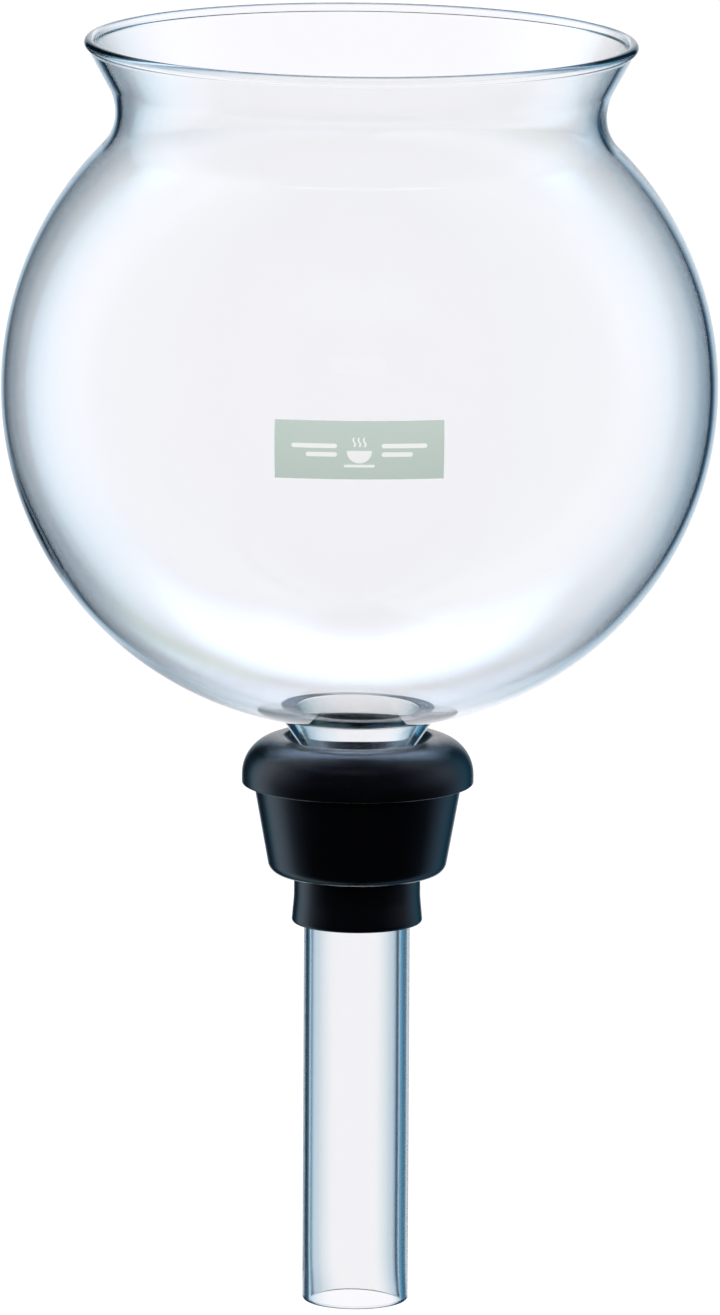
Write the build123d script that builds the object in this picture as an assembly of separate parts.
"""Upper funnel of a vacuum coffee maker: a blown glass bowl, its drawn stem and the rubber gasket.

Millimetres, +Z up. The origin is the centre of the gasket flange's underside, which is the face that
rests on the carafe's neck. Every piece is a turned form about Z, except the printed label, which lies
on the front of the bowl, towards -Y.
"""
from build123d import *
from math import acos, asin, atan2, cos, degrees, radians, sin, sqrt, tan
import os

# ---- Stem: drawn borosilicate tube ----
tube_outer_d = 24.0
tube_wall = 1.7
stem_below_seat = 119.5      # from the seat down to the stem's open end
stem_end_r = 0.65            # rounding of both edges of the open end
neck_cone_angle = 35.0       # the flared top of the stem, from the vertical
neck_blend_r = 6.0           # outer bend between the cone and the straight tube
seal_inner_r = 1.0           # rounding inside the seal between the bowl and the stem
seal_d = 35.2                # diameter of the ring where the bowl and the stem are fused
seal_above_seat = 15.4       # height of that ring on the outside

# ---- Bowl: blown borosilicate ----
bowl_outer_d = 161.5
bowl_wall = 1.6
upper_belly_r = 77.0         # profile radius above the widest circle
lower_belly_r = 76.2         # profile radius below it
throat_outer_d = 110.4
throat_under_r = 11.0        # hollow under the throat, into the belly
throat_over_r = 12.8         # hollow over the throat, into the flare
flare_angle = 28.5           # straight flare under the rim, from the vertical
flare_reach = 6.8            # how far the rim stands outside the throat
rim_bead_d = 2.4             # fire-polished bead

# ---- Gasket: moulded black rubber ----
stem_fit = 0.05              # radial clearance between the stem and the gasket's bore
recess_clearance = 0.2       # from the stem's bend down to the bottom of the gasket's recess
flange_ledge = 2.7           # width of the seat, outside the plug
flange_height = 10.7
flange_shoulder_r = 8.6
flange_edge_r = 0.4
recess_gap = 2.6             # between the stem's cone and the recess's lip
recess_lip_r = 0.6
plug_top_d = 47.0
plug_taper = 10.2            # half angle
plug_depth = 20.6            # below the seat
plug_corner_r = 3.0
collar_wall = 2.25
collar_foot_wall = 2.8       # the collar spreads a little at its foot
collar_straight = 5.4        # length before it starts to spread
collar_depth = 32.0          # below the seat
collar_bend_r = 24.0
collar_edge_r = 0.8

# ---- Label: fired enamel print on the bowl ----
label_width = 37.6           # along the curve of the bowl
label_height = 13.0
label_below_belly = 1.2      # from the widest circle down to the label's middle
label_thickness = 0.15

# ---- Worked out from the above ----
tube_r = tube_outer_d / 2
bore_r = tube_r - tube_wall
bowl_r = bowl_outer_d / 2
throat_r = throat_outer_d / 2
rim_r = throat_r + flare_reach
bead_r = rim_bead_d / 2
seal_r = seal_d / 2
plug_r = plug_top_d / 2
flange_r = plug_r + flange_ledge
gasket_bore_r = tube_r + stem_fit
collar_r = gasket_bore_r + collar_wall

belly_height = seal_above_seat + sqrt(lower_belly_r**2 - (seal_r - bowl_r + lower_belly_r)**2)
upper_centre = (bowl_r - upper_belly_r, belly_height)
lower_centre = (bowl_r - lower_belly_r, belly_height)

under_centre_r = throat_r + throat_under_r
belly_to_under = upper_belly_r + throat_under_r
throat_height = belly_height + sqrt(belly_to_under**2 - (under_centre_r - upper_centre[0])**2)
under_centre = (under_centre_r, throat_height)
over_centre = (throat_r + throat_over_r, throat_height)
shoulder_angle = degrees(atan2(throat_height - belly_height, under_centre_r - upper_centre[0]))


def on_circle(centre, radius, angle):
    """The point of a circle at an angle in degrees from +X."""
    return (centre[0] + radius * cos(radians(angle)), centre[1] + radius * sin(radians(angle)))


def turned(outline):
    """The solid that a closed outline in radius and height makes about Z."""
    return revolve(Plane.XZ * make_face(outline), axis=Axis.Z)


def bowl_wall_curve(depth):
    """One face of the bowl's wall, at a depth inside the outer face, from the seal up to the flare.

    The arcs of both faces share their centres, so the wall has one thickness.
    """
    lower_r = lower_belly_r - depth
    seal_angle = -degrees(acos((seal_r - lower_centre[0]) / lower_r))
    return [
        CenterArc(lower_centre, lower_r, seal_angle, -seal_angle),
        CenterArc(upper_centre, upper_belly_r - depth, 0, shoulder_angle),
        CenterArc(under_centre, throat_under_r + depth, 180 + shoulder_angle, -shoulder_angle),
        CenterArc(over_centre, throat_over_r + depth, 180, -flare_angle),
    ]


def seal_height(depth):
    """Height of the bowl's wall at the seal, at a depth inside its outer face."""
    return belly_height - sqrt((lower_belly_r - depth)**2 - (seal_r - lower_centre[0])**2)


def make_bowl():
    """Belly, throat, straight flare and a round bead that is flush with the outside of the flare."""
    along = (sin(radians(flare_angle)), cos(radians(flare_angle)))
    inward = (-along[1], along[0])
    start = on_circle(over_centre, throat_over_r, 180 - flare_angle)
    flare_length = (rim_r - bead_r - start[0] - bead_r * inward[0]) / along[0]

    def on_flare(length, depth):
        return tuple(start[i] + length * along[i] + depth * inward[i] for i in range(2))

    bead_centre = on_flare(flare_length, bead_r)
    inner_length = flare_length - sqrt(bead_r**2 - (bead_r - bowl_wall)**2)
    inner_end = on_flare(inner_length, bowl_wall)
    inner_end_angle = degrees(atan2(inner_end[1] - bead_centre[1], inner_end[0] - bead_centre[0])) % 360
    edges = bowl_wall_curve(0) + bowl_wall_curve(bowl_wall)
    edges += [
        Line(start, on_flare(flare_length, 0)),
        CenterArc(bead_centre, bead_r, -flare_angle, inner_end_angle + flare_angle),
        Line(inner_end, on_flare(0, bowl_wall)),
        Line((seal_r, seal_above_seat), (seal_r, seal_height(bowl_wall))),
    ]
    return turned(edges)


def cone_r(height):
    """Outer radius of the stem's cone at a height."""
    return seal_r - (seal_above_seat - height) * tan(radians(neck_cone_angle))


def neck_bend_height():
    """Height where the stem's outer cone would meet its straight tube, were the bend sharp."""
    return seal_above_seat - (seal_r - tube_r) / tan(radians(neck_cone_angle))


def neck_bend_run():
    """Length that the bend takes from the tube below that height."""
    return neck_blend_r * tan(radians(neck_cone_angle) / 2)


def make_stem():
    """Straight tube with a conical top, fused to the bowl, and a rounded open end."""
    slope = tan(radians(neck_cone_angle))
    outer_bend = neck_bend_height()
    inner_bend = outer_bend + tube_wall * tan(radians(neck_cone_angle) / 2)
    seal_top = seal_height(bowl_wall)
    inner_corner = (bore_r + (seal_top - inner_bend) * slope, seal_top)
    outline = FilletPolyline(
        (seal_r, seal_above_seat),
        (tube_r, outer_bend),
        (tube_r, -stem_below_seat),
        (bore_r, -stem_below_seat),
        (bore_r, inner_bend),
        inner_corner,
        (seal_r, seal_top),
        radius=[0, neck_blend_r, stem_end_r, stem_end_r, neck_blend_r + tube_wall, seal_inner_r, 0],
        close=True,
    )
    return turned(outline)


def make_gasket():
    """Domed flange with a recess for the stem's cone, tapered plug and a collar round the stem."""
    recess_bottom = neck_bend_height() - neck_bend_run() + recess_clearance
    recess_mouth_r = cone_r(flange_height) + recess_gap
    plug_bottom_r = plug_r - plug_depth * tan(radians(plug_taper))
    shoulder_r = min(flange_shoulder_r, flange_r - recess_mouth_r - recess_lip_r)
    corner_r = min(plug_corner_r, 0.8 * (plug_bottom_r - collar_r))
    outline = FilletPolyline(
        (gasket_bore_r, recess_bottom),
        (gasket_bore_r, -collar_depth),
        (gasket_bore_r + collar_foot_wall, -collar_depth),
        (collar_r, -plug_depth - collar_straight),
        (collar_r, -plug_depth),
        (plug_bottom_r, -plug_depth),
        (plug_r, 0),
        (flange_r, 0),
        (flange_r, flange_height),
        (recess_mouth_r, flange_height),
        radius=[0, 0, collar_edge_r, collar_bend_r, 0, corner_r, 0, flange_edge_r, shoulder_r,
                recess_lip_r],
        close=True,
    )
    return turned(outline)


def make_label():
    """A thin patch on the bowl's outer face, centred on the front."""
    low = -label_below_belly - label_height / 2
    high = -label_below_belly + label_height / 2
    low_angle = degrees(asin(low / lower_belly_r))
    high_angle = degrees(asin(high / upper_belly_r))
    edges = []
    for depth in (0, label_thickness):
        edges.append(CenterArc(lower_centre, lower_belly_r + depth, low_angle, -low_angle))
        edges.append(CenterArc(upper_centre, upper_belly_r + depth, 0, high_angle))
    for centre, radius, angle in (
        (lower_centre, lower_belly_r, low_angle),
        (upper_centre, upper_belly_r, high_angle),
    ):
        outside = on_circle(centre, radius + label_thickness, angle)
        edges.append(Line(on_circle(centre, radius, angle), outside))
    spread = degrees(label_width / bowl_r)
    patch = revolve(Plane.XZ * make_face(edges), axis=Axis.Z, revolution_arc=spread)
    front = -90 - spread / 2
    return Rot(0, 0, front) * patch


parts = {
    "glass_bowl": make_bowl(),
    "glass_stem": make_stem(),
    "rubber_gasket": make_gasket(),
    "enamel_label": make_label(),
}

os.makedirs("parts", exist_ok=True)
for name, solid in parts.items():
    export_step(solid, f"parts/{name}.step")
    box = solid.bounding_box()
    print(name, round(solid.volume), "mm3", box.min, box.max)
top = parts["glass_bowl"].bounding_box().max.Z
print("widest circle", round(belly_height, 2), "throat", round(throat_height, 2), "top", round(top, 2))
